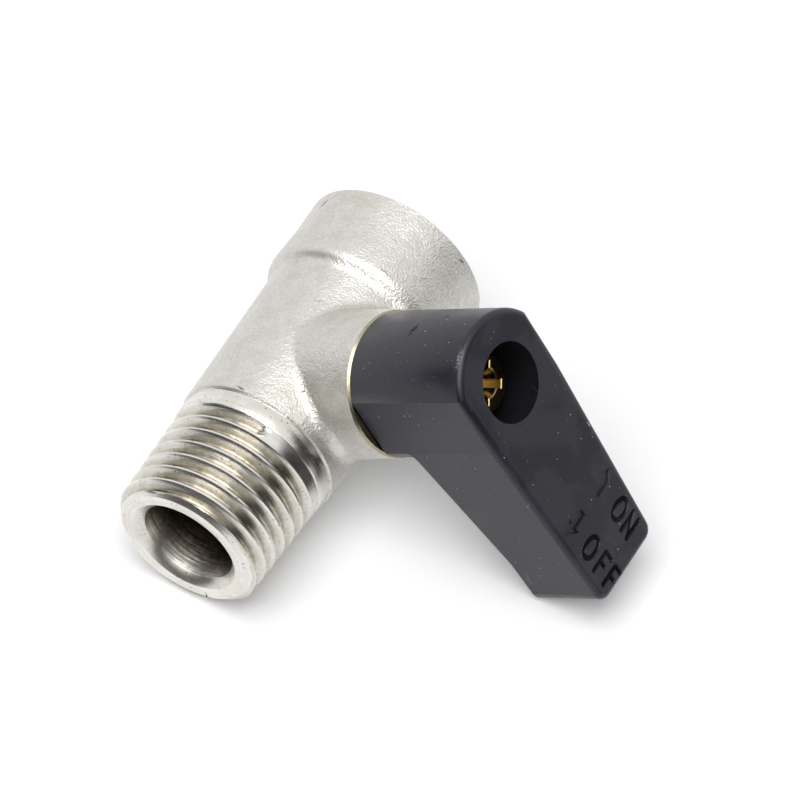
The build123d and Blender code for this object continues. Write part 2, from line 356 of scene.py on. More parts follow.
class Skin(Tree):
    """Node tree of one finish, with its shader, its patterns' place and the shared groups."""

    def __init__(self, material: Material, groups: Shelf) -> None:
        """Place the shader of an emptied material.

        Args:
            material: The material.
            groups: The shared groups.
        """
        super().__init__(material)
        self.groups = groups
        self.shader = self.add("BsdfPrincipled")
        self.place = self.add("TexCoord").outputs["Object"]
        self.show(self.shader.outputs["BSDF"])

    def dress(self, colour: object, rough: object) -> None:
        """Feed the shader's colour and roughness."""
        self.feed(self.shader.inputs["Base Color"], colour)
        self.feed(self.shader.inputs["Roughness"], rough)

    def bump(self, height: object, depth: float) -> None:
        """Feed a height into the shader's normal, where 1 stands for a depth in metres."""
        node = self.add("Bump", {"Height": height, "Distance": depth, "Strength": 1.0})
        self.feed(self.shader.inputs["Normal"], node.outputs["Normal"])

    def cloud(self, size_mm: float, detail: float) -> Socket:
        """Noise at the patterns' place, in blobs of about a size in millimetres."""
        return self.noise(self.place, 1.0 / (size_mm * MM), detail)

    def place_group(self, kind: type[Group], **values: object) -> Node:
        """Place a shared group.

        Args:
            kind: Which group.
            values: Its inputs, by lower-case name.

        Returns:
            The group's node.
        """
        node = self.add("Group", {"Vector": self.place}, node_tree=self.groups[kind])
        for name, value in values.items():
            self.feed(node.inputs[name.capitalize()], value)
        return node

    def use(self, kind: type[Group], **values: object) -> Socket:
        """Place a shared group and return its mask."""
        return self.place_group(kind, **values).outputs["Mask"]

    def overlay(self, colour: object, mask: Socket, share: float, other: Colour) -> Socket:
        """Lay a share of another colour over a colour where a mask says so."""
        return self.mix(self.math("MULTIPLY", mask, share), colour, other)

    def scuffed(self, colour: object, scuffs: Iterable[Scuff]) -> Socket:
        """Lay marks over a colour.

        Args:
            colour: The colour beneath.
            scuffs: The marks.

        Returns:
            The marked colour's socket.
        """
        for scuff in scuffs:
            mask = self.use(
                ScuffShape,
                middle=tuple(part * MM for part in scuff.place),
                way=tuple(Vector(scuff.way).normalized()),
                long=scuff.long * MM,
                wide=scuff.wide * MM,
                ragged=scuff.ragged,
            )
            colour = self.overlay(colour, mask, scuff.strength, scuff.colour)
        return colour


@dataclass(frozen=True)
class Finish:
    """Base of every finish: a name, a colour, a roughness and whether it is metal."""

    name: str
    colour: Colour
    roughness: float
    metal: bool = True

    def material(self, groups: Shelf) -> Material:
        """Make the finish's material, named after it.

        Args:
            groups: The shared groups.

        Returns:
            The material.
        """
        made = bpy.data.materials.new(self.name)
        skin = Skin(made, groups)
        skin.shader.inputs["Metallic"].default_value = 1.0 if self.metal else 0.0
        skin.dress(self.colour, self.roughness)
        self.detail(skin)
        made.diffuse_color = (*self.colour, 1.0)
        return made

    def dulled(self, share: float) -> Colour:
        """The finish's colour times a share."""
        return tuple(share * part for part in self.colour)

    def detail(self, skin: Skin) -> None:
        """Add the finish's own surface detail; the base has none."""


@dataclass(frozen=True)
class ForgedNickel(Finish):
    """Nickel plate over a blasted forging: sparkling grain, faint stains, dark nicks and painted
    shade in two creases.
    """

    grain: float = 0.19 * MM
    grain_depth: float = 0.075 * MM
    stain_colour: Colour = (0.50, 0.44, 0.33)
    smooth_deg: float = 24.0
    rough_deg: float = 48.0

    def detail(self, skin: Skin) -> None:
        """Add grain, tone, stains, nicks and painted crease shade, with less grain on the side of
        the dies' parting.

        Args:
            skin: The finish's node tree.
        """
        grain = skin.place_group(Grain, grain=self.grain, swell=1.1 * MM)
        tone = grain.outputs["Tone"]
        stain = skin.use(Stains, size=1.7 * MM, share=0.25)
        nick = skin.use(Specks, spacing=1.1 * MM, size=0.07 * MM, share=0.4)
        colour = skin.mix(tone, self.dulled(0.84), self.colour)
        colour = skin.overlay(colour, stain, 0.2, self.stain_colour)
        colour = skin.overlay(colour, nick, 0.7, DIRT)
        rough = skin.math("MULTIPLY_ADD", tone, -0.12, self.roughness + 0.06)
        # the body's marks include the painted shade in its creases
        skin.dress(skin.scuffed(colour, BODY_SCUFFS_AND_SHADE), rough)
        parts = skin.add("SeparateXYZ", {"Vector": skin.place})
        angle = skin.math("ARCTAN2", parts.outputs["Z"], parts.outputs["Y"])
        round_deg = skin.math("DEGREES", angle)
        wavy = skin.math("MULTIPLY_ADD", skin.cloud(1.5, 2.0), self.smooth_deg, round_deg)
        blasted = skin.ramp(wavy, self.smooth_deg, self.rough_deg)
        share = skin.math("MULTIPLY_ADD", blasted, 0.8, 0.2)
        height = skin.math("MULTIPLY", grain.outputs["Height"], share)
        skin.bump(height, self.grain_depth)


@dataclass(frozen=True)
class TurnedNickel(Finish):
    """Nickel plate over a cut surface: faint rings, grime and painted shade in the grooves, dark
    pits.
    """

    mark_pitch: float = 0.09 * MM
    mark_depth: float = 0.006 * MM
    pit_share: float = 0.8
    groove_grime_and_shade: Colour = (0.34, 0.30, 0.22)
    tarnish: Colour = (0.58, 0.52, 0.42)

    def detail(self, skin: Skin) -> None:
        """Add turning marks, grime and painted shade in the grooves, tarnish and pits.

        Args:
            skin: The finish's node tree.
        """
        marks = skin.place_group(Marks, pitch=self.mark_pitch)
        streak = marks.outputs["Streak"]
        pits = skin.use(Specks, spacing=0.42 * MM, size=0.085 * MM, share=self.pit_share)
        stain = skin.use(Stains, size=2.0 * MM, share=0.5)
        colour = skin.mix(streak, self.dulled(0.9), self.colour)
        colour = skin.overlay(colour, stain, 0.25, self.tarnish)
        # grime and painted shade: browner the deeper a point lies in the thread's groove
        groove = skin.add("Attribute", attribute_name=GROOVE).outputs["Fac"]
        cloud = skin.ramp(skin.cloud(0.5, 3.0), 0.2, 0.8)
        grime_and_shade_share = skin.math("MULTIPLY", groove, skin.math("MULTIPLY_ADD", cloud, 0.6, 0.44))
        colour = skin.mix(grime_and_shade_share, colour, self.groove_grime_and_shade)
        colour = skin.overlay(colour, pits, 0.8, DIRT)
        rough = skin.math("MULTIPLY_ADD", streak, -0.05, self.roughness + 0.04)
        skin.dress(skin.scuffed(colour, THREAD_SCUFFS), rough)
        skin.bump(skin.math("SUBTRACT", marks.outputs["Height"], pits), self.mark_depth)


@dataclass(frozen=True)
class BoredNickel(TurnedNickel):
    """Nickel plate of a bore, with painted shade that darkens it to brown further down."""

    mouth_x: float = 1.0 * MM
    deep_x: float = 6.0 * MM
    shade_brown: Colour = (0.13, 0.10, 0.075)

    def detail(self, skin: Skin) -> None:
        """Paint shade into the turned finish: darker and browner along X down the inlet bore.

        Args:
            skin: The finish's node tree.
        """
        super().detail(skin)
        colour = skin.shader.inputs["Base Color"]
        bright = colour.links[0].from_socket
        along = skin.add("SeparateXYZ", {"Vector": skin.place}).outputs["X"]
        ragged = skin.math("MULTIPLY_ADD", skin.cloud(0.4, 3.0), 3.0 * MM, along)
        # painted shade: the colour turns dark brown further down the bore
        shade_share = skin.ramp(ragged, self.mouth_x, self.deep_x)
        skin.feed(colour, skin.mix(shade_share, bright, self.shade_brown))


@dataclass(frozen=True)
class SatinPlastic(Finish):
    """Black moulded plastic: faint flow texture, pale dust, hairlines and a rubbed rim with a
    painted highlight.
    """

    dust_colour: Colour = (0.72, 0.72, 0.74)
    dust_share: float = 0.9
    shine: float = 0.5

    def detail(self, skin: Skin) -> None:
        """Add texture, dust, hairlines, rubbed marks with painted highlights, and uneven gloss.

        Args:
            skin: The finish's node tree.
        """
        dust, fine_dust = (
            skin.use(Specks, spacing=spacing * MM, size=size * MM, share=self.dust_share)
            for spacing, size in ((0.75, 0.055), (0.36, 0.025))
        )
        lines = skin.use(Scratches, spacing=1.1 * MM, share=0.4)
        haze = skin.use(Stains, size=4.0 * MM, share=0.5)
        colour = skin.overlay(self.colour, haze, 0.02, RUBBED_AND_SHEEN)
        colour = skin.overlay(colour, lines, 0.12, RUBBED_AND_SHEEN)
        colour = skin.scuffed(colour, HANDLE_SCUFFS_AND_SHEEN)
        specks = skin.math("MAXIMUM", dust, fine_dust)
        colour = skin.overlay(colour, specks, 0.8, self.dust_colour)
        rough = skin.math("MULTIPLY_ADD", haze, 0.08, self.roughness)
        skin.dress(colour, skin.math("MAXIMUM", rough, skin.math("MULTIPLY", specks, 0.9)))
        shine = skin.scuffed((self.shine,) * 3, HANDLE_SCUFFS_AND_SHEEN)
        skin.feed(skin.shader.inputs["Specular IOR Level"], shine)
        scored = skin.math("MULTIPLY", lines, 0.8)
        skin.bump(skin.math("SUBTRACT", skin.cloud(0.12, 3.0), scored), 0.006 * MM)


@dataclass(frozen=True)
class PlainMetal(Finish):
    """Small turned or plated piece: fine noise in colour and gloss."""

    mottle: float = 0.2

    def detail(self, skin: Skin) -> None:
        """Add mottling and a fine bump.

        Args:
            skin: The finish's node tree.
        """
        cloud = skin.cloud(0.7, 3.0)
        rough = skin.math("MULTIPLY_ADD", cloud, 0.15, self.roughness - 0.07)
        skin.dress(skin.mix(cloud, self.dulled(1.0 - self.mottle), self.colour), rough)
        skin.bump(skin.cloud(0.1, 2.0), 0.004 * MM)


class WaxyPlastic(Finish):
    """Pale slippery plastic or rubber of a seat, washer or ring."""

    def detail(self, skin: Skin) -> None:
        """Add a cloudy tone and a soft bump.

        Args:
            skin: The finish's node tree.
        """
        colour = skin.mix(skin.cloud(0.9, 2.0), self.dulled(0.85), self.colour)
        skin.dress(colour, self.roughness)
        skin.bump(skin.cloud(0.15, 2.0), 0.003 * MM)


FORGED = ForgedNickel("Forged nickel", (0.695, 0.68, 0.64), 0.42)
TURNED = TurnedNickel("Turned nickel", (0.78, 0.765, 0.725), 0.24)
BORED = BoredNickel(
    "Bored nickel", (0.74, 0.725, 0.69), 0.3,
    mark_pitch=0.26 * MM, mark_depth=0.03 * MM, pit_share=0.3,
)
RIM = TurnedNickel("Brassy boss rim", (0.36, 0.325, 0.2), 0.25, mark_pitch=0.05 * MM)
PLASTIC = SatinPlastic("Satin black plastic", (0.0070, 0.0064, 0.0138), 0.31, metal=False)
# Near-black matt plastic: painted shade inside the screw well and on the floors of the engraved
# words
WELL_SHADE = SatinPlastic(
    "Black plastic of painted shade", (0.0025,) * 3, 0.6, metal=False, dust_share=0.2, shine=0.1
)
PLATING = PlainMetal("Polished plating", (0.72, 0.71, 0.69), 0.12)
BRASS = PlainMetal("Bare brass", (0.74, 0.57, 0.28), 0.25)
YELLOW = PlainMetal("Yellow screw plating", (0.36, 0.26, 0.11), 0.2, mottle=0.6)
WHITE = WaxyPlastic("White seat plastic", (0.86, 0.86, 0.84), 0.4, metal=False)
RUBBER = WaxyPlastic("Seal rubber", (0.03, 0.03, 0.03), 0.55, metal=False)
INNER = {
    PLATING: ("ball",),
    WHITE: ("inlet_seat", "outlet_seat", "thrust_washer"),
    BRASS: ("seat_retainer", "stem"),
    RUBBER: ("lower_stem_ring", "upper_stem_ring"),
    YELLOW: ("handle_screw",),
}


def radius_from_flow(point: Vector) -> float:
    """Distance of a point from the flow axis."""
    return math.hypot(point.y, point.z)


def radius_from_stem(point: Vector, stem_x: float) -> float:
    """Distance of a point from the stem's axis."""
    return math.hypot(point.x - stem_x, point.y)


def smooth_step(value: float) -> float:
    """Ease from 0 to 1 as value goes from 0 to 1, and stay there outside."""
    share = min(max(value, 0.0), 1.0)
    return share * share * (3.0 - 2.0 * share)


@dataclass
class PipeThread:
    """Tapered pipe thread about the flow axis; side is 1 on a shaft and -1 in a bore."""

    start_x: float
    end_x: float
    land_r: float
    groove_end_x: float
    groove_end_deg: float
    side: int
    depth: float = 0.8 * MM
    pitch: float = 25.4 * MM / 18.0
    taper: float = 1.0 / 32.0
    fade_turns: float = 0.03
    crest_share: float = 0.14
    root_share: float = 0.08
    rows_per_turn: int = 18

    def rows(self) -> int:
        """Rows of a wall that follows the helix, with one more turn than the thread."""
        return math.ceil(((self.end_x - self.start_x) / self.pitch + 1.0) * self.rows_per_turn)

    def along(self, row: int, angle: float) -> float:
        """Place along the axis of a row of the helical wall, held inside its ends.

        Args:
            row: The row's number.
            angle: Angle about the axis, in radians from +Y towards +Z.

        Returns:
            Its X.
        """
        lead = (angle - math.radians(self.groove_end_deg)) / FULL_TURN
        whole = math.floor((self.start_x - self.groove_end_x) / self.pitch)
        turns = whole + row / self.rows_per_turn - 0.5 + lead
        x = self.groove_end_x + self.pitch * turns
        return min(max(x, self.start_x), self.end_x)

    def radius(self, x: float, angle: float) -> float:
        """Radius of the threaded surface at a place along and around the axis.

        Args:
            x: Place along the axis.
            angle: Angle about it, in radians from +Y towards +Z.

        Returns:
            The radius, between the land and the groove's floor.
        """
        land = self.land_r + self.taper * (x - self.start_x)
        lead = (angle - math.radians(self.groove_end_deg)) / FULL_TURN
        phase = (x - self.groove_end_x) / self.pitch - lead
        turn = round(phase)
        flank_share = 0.5 - (self.root_share + self.crest_share) / 2
        flank = (abs(phase - turn) - self.root_share / 2) / flank_share
        groove = 1.0 - min(max(flank, 0.0), 1.0)
        left = -self.side * (turn + lead)
        return land - self.side * self.depth * groove * smooth_step(left / self.fade_turns)


def round_wall(bm: BMesh, rows: int, outline: Outline, around: int = 240) -> None:
    """Add a closed wall about the flow axis, warped from a flat grid.

    Args:
        bm: The mesh to add to.
        rows: Number of faces along the outline.
        outline: Gives x and radius from a row's number and an angle.
        around: Number of faces around the axis.
    """
    made = bmesh.ops.create_grid(bm, x_segments=around, y_segments=rows, size=0.5)
    for vert in made["verts"]:
        row = round((vert.co.y + 0.5) * rows)
        angle = FULL_TURN * (vert.co.x + 0.5)
        x, radius = outline(row, angle)
        vert.co = (x, radius * math.cos(angle), radius * math.sin(angle))
    bmesh.ops.remove_doubles(bm, verts=made["verts"], dist=0.001 * MM)


def crease(bm: BMesh, sharp_deg: float) -> None:
    """Shade a mesh smooth, with creases at sharp edges and broad faces left flat.

    Args:
        bm: The mesh.
        sharp_deg: Angle past which an edge shows as a crease.
    """
    limit = math.radians(sharp_deg)
    broad = 0.4 * MM
    for face in bm.faces:
        face.smooth = face.calc_area() < broad * face.calc_perimeter()
    for edge in bm.edges:
        edge.smooth = edge.calc_face_angle(0.0) < limit


def facing(way: Vector, place: Vector) -> Matrix:
    """Placement that turns Z along a way."""
    return Matrix.Translation(place) @ way.to_track_quat("Z", "Y").to_matrix().to_4x4()


def finish_object(
    name: str, bm: BMesh, materials: list[Material], sharp_deg: float = 30.0
) -> Object:
    """Turn a bmesh into a shaded object at the origin.

    Args:
        name: The object's name.
        bm: The mesh, which is freed.
        materials: Its materials in slot order.
        sharp_deg: Angle past which an edge shows as a crease.

    Returns:
        The new object.
    """
    crease(bm, sharp_deg)
    mesh = bpy.data.meshes.new(name)
    bm.to_mesh(mesh)
    bm.free()
    for material in materials:
        mesh.materials.append(material)
    made = bpy.data.objects.new(name, mesh)
    bpy.context.scene.collection.objects.link(made)
    return made


def merged_copy(node: Object) -> BMesh:
    """Copy a node's mesh and join the corners of its loose triangles.

    Args:
        node: The node.

    Returns:
        The copy.
    """
    bm = bmesh.new()
    bm.from_mesh(node.data)
    bmesh.ops.remove_doubles(bm, verts=bm.verts, dist=0.0005 * MM)
    return bm


@dataclass
class ValveBody:
    """Forged body with its real threads, and a finish for each way it was made."""

    node: Object
    stem_x: float
    male: PipeThread
    female: PipeThread
    mouth_x: float
    cut_x: float = 11.1 * MM
    face_r: float = 5.9 * MM
    start_slope: float = 1.3
    bore_r: float = 4.15 * MM
    flare: float = 0.71 * MM
    collar_r: float = 7.0 * MM
    boss_top_z: float = 11.1 * MM
    mouth_r: float = 6.6 * MM
    port_reach: float = 0.04 * MM
    band: float = 0.1 * MM
    rim_depth: float = 0.2 * MM
    stem_bore_r: float = 5.0 * MM
    stem_bore_z: float = 7.0 * MM
    inlet_bore_r: float = 5.2 * MM
    inner_r: float = 6.75 * MM
    cavity_x: float = 14.0 * MM
    cup_x: float = 22.0 * MM
    turned_x: float = 11.42 * MM

    def build(self, materials: list[Material]) -> None:
        """Cut the plain ends away, add the threads and dress the body.

        Args:
            materials: Materials in the order of Zone.
        """
        bm = merged_copy(self.node)
        self.add_male_end(bm)
        self.add_female_end(bm)
        bmesh.ops.recalc_face_normals(bm, faces=bm.faces)
        for face in bm.faces:
            face.material_index = self.zone(face)
        self.mark_grooves(bm)
        made = finish_object("threaded_body", bm, materials, sharp_deg=34.0)
        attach(made, Body.FIXED.value)
        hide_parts(self.node.name)
        log.info("%s: %d faces", made.name, len(made.data.polygons))

    def add_male_end(self, bm: BMesh) -> None:
        """Swap the plain inlet for one with a thread, and bridge it to the collar.

        Args:
            bm: The body's mesh.
        """
        bmesh.ops.bisect_plane(
            bm,
            geom=bm.verts[:] + bm.edges[:] + bm.faces[:],
            dist=0.0001 * MM,
            plane_co=(self.cut_x, 0.0, 0.0),
            plane_no=(1.0, 0.0, 0.0),
            clear_inner=True,
        )
        thread = self.male
        soft = 0.04 * MM
        inlet = [
            (self.cut_x - self.band, self.bore_r),
            (self.flare + soft, self.bore_r),
            (self.flare, self.bore_r + soft / 2),
            (soft, self.bore_r + self.flare - soft),
            (0.0, self.bore_r + self.flare + soft),
            (0.0, self.face_r - soft),
            (0.0, self.face_r),
        ]
        softer = 0.05 * MM
        collar = [
            (thread.end_x + softer, self.collar_r - softer / 2),
            (thread.end_x + 2 * softer, self.collar_r),
            (self.cut_x - self.band, self.collar_r),
        ]

        def outline(row: int, angle: float) -> tuple[float, float]:
            """Stations of the bore and end face, rows of the thread, then the collar.

            Args:
                row: Row of the wall.
                angle: Angle about the axis.

            Returns:
                X and radius there.
            """
            if row < len(inlet):
                return inlet[row]
            if row >= len(inlet) + thread.rows():
                return collar[row - len(inlet) - thread.rows()]
            x = thread.along(row - len(inlet), angle)
            return x, min(thread.radius(x, angle), self.face_r + self.start_slope * x)

        round_wall(bm, len(inlet) + thread.rows() + len(collar) - 1, outline)
        for radius in (self.bore_r, self.collar_r):
            self.bridge(bm, self.cut_x - self.band, self.cut_x, radius)

    def add_female_end(self, bm: BMesh) -> None:
        """Swap the plain outlet bore for one with a thread.

        Args:
            bm: The body's mesh.
        """
        thread = self.female
        plain = []
        for face in bm.faces:
            centre = face.calc_center_median()
            beside = thread.land_r - self.band < radius_from_flow(centre) < self.mouth_r
            if beside and thread.start_x < centre.x < self.mouth_x - self.port_reach:
                plain.append(face)
        bmesh.ops.delete(bm, geom=plain, context="FACES")

        def outline(row: int, angle: float) -> tuple[float, float]:
            """Rows of the thread, opened out by the cone at the mouth."""
            x = thread.along(row, angle)
            return x, max(thread.radius(x, angle), self.mouth_r - (self.mouth_x - x))

        round_wall(bm, thread.rows(), outline, around=160)
        self.bridge(bm, thread.start_x, thread.start_x - self.band, thread.land_r)
        self.bridge(bm, thread.end_x, self.mouth_x, self.mouth_r)

    def bridge(self, bm: BMesh, first_x: float, second_x: float, radius: float) -> None:
        """Close the band between two open rings.

        Args:
            bm: The mesh.
            first_x: Where the first ring lies.
            second_x: Where the second ring lies.
            radius: About the radius of both.
        """
        near = 0.004 * MM
        reach = 0.3 * MM
        rings = [
            edge
            for x in (first_x, second_x)
            for edge in bm.edges
            if edge.is_boundary
            and all(abs(vert.co.x - x) < near for vert in edge.verts)
            and all(abs(radius_from_flow(vert.co) - radius) < reach for vert in edge.verts)
        ]
        bmesh.ops.bridge_loops(bm, edges=rings)

    def mark_grooves(self, bm: BMesh) -> None:
        """Note on each point how far down the male thread's groove it lies, from 0 to 1.

        Args:
            bm: The body's mesh.
        """
        layer = bm.verts.layers.float.new(GROOVE)
        thread = self.male
        first_x = 0.3 * MM
        least_r = self.bore_r + 0.5 * MM
        for vert in bm.verts:
            radius = radius_from_flow(vert.co)
            land = thread.land_r + thread.taper * vert.co.x
            if first_x < vert.co.x < thread.end_x and radius > least_r:
                vert[layer] = min(max((land - radius) / thread.depth, 0.0), 1.0)

    def zone(self, face: bmesh.types.BMFace) -> int:
        """Tell a face's finish by where it lies.

        Args:
            face: The face.

        Returns:
            The number of its zone.
        """
        centre = face.calc_center_median()
        from_flow = radius_from_flow(centre)
        from_stem = radius_from_stem(centre, self.stem_x)
        if centre.z > self.boss_top_z - self.rim_depth:
            return Zone.RIM
        if from_stem < self.stem_bore_r and centre.z > self.stem_bore_z:
            return Zone.BORED
        on_end = centre.x < 0.02 * MM or centre.x > self.mouth_x - 0.15 * MM
        if on_end or (from_flow < self.inner_r and centre.x > self.cup_x):
            return Zone.TURNED
        if from_flow < self.inlet_bore_r or (from_flow < self.inner_r and centre.x > self.cavity_x):
            return Zone.BORED
        if centre.x < self.turned_x:
            return Zone.TURNED
        return Zone.FORGED


class Mark(Enum):
    """Engraved letters as strokes in a box one high, or None for a ring."""

    O = None
    N = (((0, 0), (0, 1)), ((0, 1), (1, 0)), ((1, 0), (1, 1)))
    F = (((0, 0), (0, 1)), ((0, 1), (1, 1)), ((0, 0.52), (0.8, 0.52)))


WORDS = (
    (1.38, ((Mark.O, -16.62, 1.25), (Mark.N, -18.45, 0.95))),
    (-3.32, ((Mark.O, -16.35, 1.25), (Mark.F, -18.4, 0.95), (Mark.F, -20.02, 0.92))),
)
ARROWS = (
    ((1.15, -14.06), (2.8, -14.06), (2.8, -14.42), (3.95, -13.3))
    + ((2.8, -12.78), (2.8, -13.14), (1.15, -13.14)),
    ((-0.9, -13.96), (-2.5, -13.96), (-2.5, -14.42), (-3.85, -13.35))
    + ((-2.5, -12.78), (-2.5, -13.24), (-0.9, -13.24)),
)


@dataclass
class LeverHandle:
    """Moulded lever with softened back edges and engraved ON and OFF marks."""

    node: Object
    stem_x: float
    face_z: float
    stroke: float = 0.5 * MM
    depth: float = 0.2 * MM
    draft: float = 0.09 * MM
    edge_round: float = 0.12 * MM
    sharp_deg: float = 35.0
    well_r: float = 3.4 * MM
    words_y: float = -14.6 * MM
    letter_height: float = 2.15 * MM
    hub_r: float = 5.2 * MM
    front_depth: float = 1.0 * MM

    def build(self, materials: list[Material]) -> None:
        """Soften and engrave the lever.

        Args:
            materials: The plastic outside, and the black plastic of painted shade inside the screw
                well and on the floors of the words.
        """
        bm = merged_copy(self.node)
        self.soften(bm)
        made = finish_object("engraved_lever", bm, materials)
        for cutter in self.cutters():
            carve(made, cutter)
        self.shade(made)
        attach(made, Body.HANDLE.value)
        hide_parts(self.node.name)
        log.info("%s: %d faces", made.name, len(made.data.polygons))

    def soften(self, bm: BMesh) -> None:
        """Round the sharp edges of the lever's back, clear of its bores.

        Args:
            bm: The lever's mesh.
        """
        flat = math.radians(0.5)
        bmesh.ops.dissolve_limit(bm, angle_limit=flat, verts=bm.verts, edges=bm.edges)
        least = math.radians(self.sharp_deg)
        sharp = []
        for edge in bm.edges:
            middle = (edge.verts[0].co + edge.verts[1].co) / 2
            clear = radius_from_stem(middle, self.stem_x) > self.hub_r
            behind = middle.z < self.face_z - self.front_depth
            if clear and behind and edge.calc_face_angle_signed(0.0) > least:
                sharp.append(edge)
        bmesh.ops.bevel(
            bm,
            geom=sharp,
            offset=self.edge_round,
            affect="EDGES",
            segments=2,
            profile=0.5,
            clamp_overlap=True,
        )

    def shade(self, lever: Object) -> None:
        """Crease the carved lever and paint shade into its screw well and the floors of its words.

        Args:
            lever: The lever.
        """
        bm = bmesh.new()
        bm.from_mesh(lever.data)
        crease(bm, 28.0)
        for face in bm.faces:
            centre = face.calc_center_median()
            sunk = self.face_z - centre.z
            in_well = radius_from_stem(centre, self.stem_x) < self.well_r and sunk > 0.01 * MM
            in_word = centre.y < self.words_y and 0.5 * self.depth < sunk < 1.1 * self.depth
            # painted shade: the screw well and the floors of the words take the near-black material
            face.material_index = int(in_well or (in_word and face.normal.z > 0.9))
        bm.to_mesh(lever.data)
        bm.free()

    def cutters(self) -> list[BMesh]:
        """Solids for the words, each read along -Y with its top towards +X, and the arrows.

        Returns:
            The solids.
        """
        made = []
        for low, letters in WORDS:
            for mark, middle, width in letters:
                left = middle * MM + width * MM / 2
                made += self.letter(mark, low * MM, left, width * MM)
        for corners in ARROWS:
            bm = bmesh.new()
            bm.faces.new([bm.verts.new((x * MM, y * MM, 0.0)) for x, y in corners])
            made.append(self.raise_solid(bm))
        return made

    def letter(self, mark: Mark, low: float, left: float, width: float) -> list[BMesh]:
        """Cutting solids of one letter.

        Args:
            mark: The letter.
            low: Its foot, along +X from the stem.
            left: Its left side along Y.
            width: Between the middles of its side strokes.

        Returns:
            One solid for each stroke.
        """
        height = self.letter_height
        if mark.value is None:
            return [self.ring(low + height / 2, left - width / 2, width)]
        return [
            self.pill(*(Vector((low + v * height, left - u * width)) for u, v in stroke))
            for stroke in mark.value
        ]

    def raise_solid(self, bm: BMesh) -> BMesh:
        """Turn a flat face into a cutting solid whose walls slope in to the groove's floor.

        Args:
            bm: The face's mesh, which changes.

        Returns:
            The same mesh.
        """
        made = bmesh.ops.extrude_face_region(bm, geom=list(bm.faces))
        top = [part for part in made["geom"] if isinstance(part, bmesh.types.BMVert)]
        bmesh.ops.translate(bm, vec=(0.0, 0.0, 3 * self.depth), verts=top)
        rim = Vector((self.stem_x, 0.0, self.face_z + 0.01 * MM))
        bmesh.ops.translate(bm, vec=rim, verts=bm.verts)
        bmesh.ops.recalc_face_normals(bm, faces=bm.faces)
        bmesh.ops.inset_region(
            bm,
            faces=[face for face in bm.faces if face.normal.z < -0.9],
            use_boundary=True,
            use_even_offset=True,
            thickness=self.draft,
            depth=self.depth,
        )
        return bm

    def pill(self, start: Vector, end: Vector) -> BMesh:
        """Straight stroke with round ends.

        Args:
            start: Middle of one end.
            end: Middle of the other.

        Returns:
            The cutting solid.
        """
        bm = bmesh.new()
        bmesh.ops.create_circle(bm, cap_ends=True, segments=16, radius=self.stroke / 2)
        way = end - start
        for vert in bm.verts:
            vert.co.x += way.length / 2 * (1.0 if vert.co.x > 0.0 else -1.0)
        turn = Matrix.Rotation(math.atan2(way.y, way.x), 4, "Z")
        middle = ((start + end) / 2).to_3d()
        bmesh.ops.transform(bm, matrix=Matrix.Translation(middle) @ turn, verts=bm.verts)
        return self.raise_solid(bm)

    def ring(self, x: float, y: float, width: float) -> BMesh:
        """Oval stroke that closes on itself.

        Args:
            x: Its middle along X.
            y: Its middle along Y.
            width: Between the middles of its side strokes.

        Returns:
            The cutting solid.
        """
        bm = bmesh.new()
        edges = []
        for grow in (self.stroke / 2, -self.stroke / 2):
            made = bmesh.ops.create_circle(bm, segments=32, radius=1.0)
            size = (self.letter_height / 2 + grow, width / 2 + grow, 1.0)
            bmesh.ops.scale(bm, vec=size, verts=made["verts"])
            edges += list({edge for vert in made["verts"] for edge in vert.link_edges})
        bmesh.ops.bridge_loops(bm, edges=edges)
        bmesh.ops.translate(bm, vec=(x, y, 0.0), verts=bm.verts)
        return self.raise_solid(bm)


def carve(target: Object, cutter: BMesh) -> None:
    """Take a solid away from an object's mesh.

    Args:
        target: The object, whose mesh changes.
        cutter: The solid, which is freed.
    """
    tool = finish_object("cutter", cutter, [])
    step = target.modifiers.new("carve", "BOOLEAN")
    step.operation = "DIFFERENCE"
    step.solver = "EXACT"
    step.object = tool
    graph = bpy.context.evaluated_depsgraph_get()
    carved = bpy.data.meshes.new_from_object(target.evaluated_get(graph))
    target.modifiers.clear()
    spent = target.data
    target.data = carved
    bpy.data.meshes.remove(spent)
    bpy.data.meshes.remove(tool.data)


